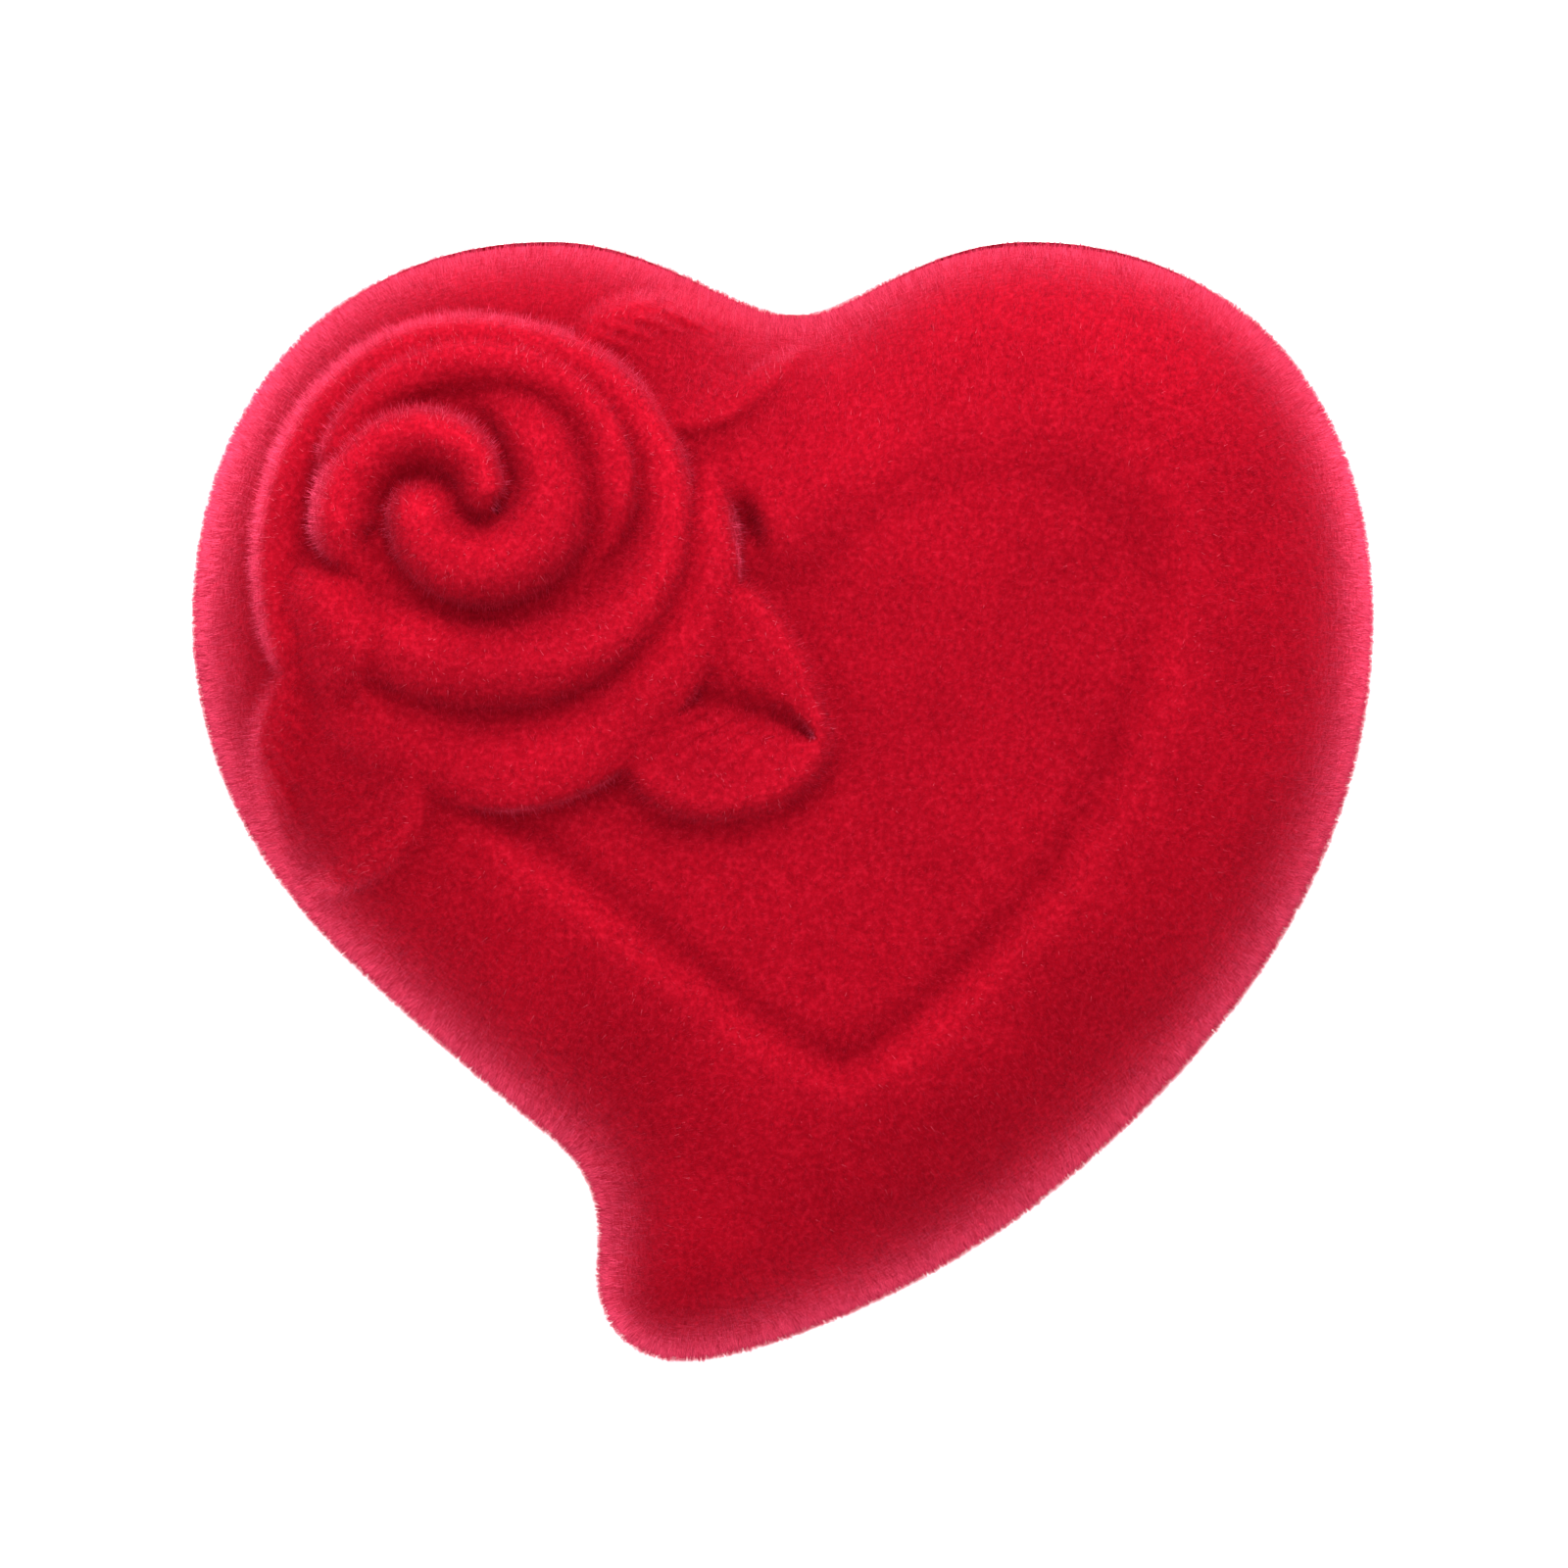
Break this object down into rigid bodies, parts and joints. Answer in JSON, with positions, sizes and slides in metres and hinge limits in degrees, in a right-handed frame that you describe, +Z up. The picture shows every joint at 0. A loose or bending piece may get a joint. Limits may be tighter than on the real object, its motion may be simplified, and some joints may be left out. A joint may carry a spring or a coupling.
{
  "type": "heart-shaped trinket box",
  "caption": "Flocked heart-shaped ring and trinket box with a curled tail, a rose in relief on its hinged lid, a satin lid liner and velvet ring pads",
  "frame": {"origin": "centre of the bounding box's underside, on the surface the box stands on", "axes": "+Z up, +Y to the hinge in the heart's notch, +X to the right lobe as seen from above with the notch at the back"},
  "size_m": [0.06, 0.057, 0.0382],
  "materials": {
    "red_flock": "matte",
    "cream_plastic": "satin",
    "stamped_steel": "satin",
    "spring_steel": "satin",
    "grey_card": "matte",
    "white_foam": "matte",
    "cream_velvet": "matte",
    "cream_satin": "satin"
  },
  "bodies": {
    "base": {"base_shell": "red_flock", "base_collar": "cream_plastic", "insert_board": "grey_card", "ring_pad_front": "white_foam", "ring_pad_rear": "white_foam", "pad_cover_front": "cream_velvet", "pad_cover_rear": "cream_velvet", "hinge_leaf_base": "stamped_steel", "hinge_pin": "stamped_steel", "snap_spring": "spring_steel"},
    "lid": {"lid_shell": "red_flock", "hinge_leaf_lid": "stamped_steel", "lid_liner_board": "grey_card", "lid_liner_foam": "white_foam", "lid_liner_satin": "cream_satin"}
  },
  "joints": [
    {"name": "lid_hinge", "type": "hinge", "parent": "base", "child": "lid", "pos_m": [0.0008, 0.02375, 0.01815], "axis": [-1, 0, 0], "range_deg": [0, 80], "deforming": ["snap_spring"]}
  ]
}
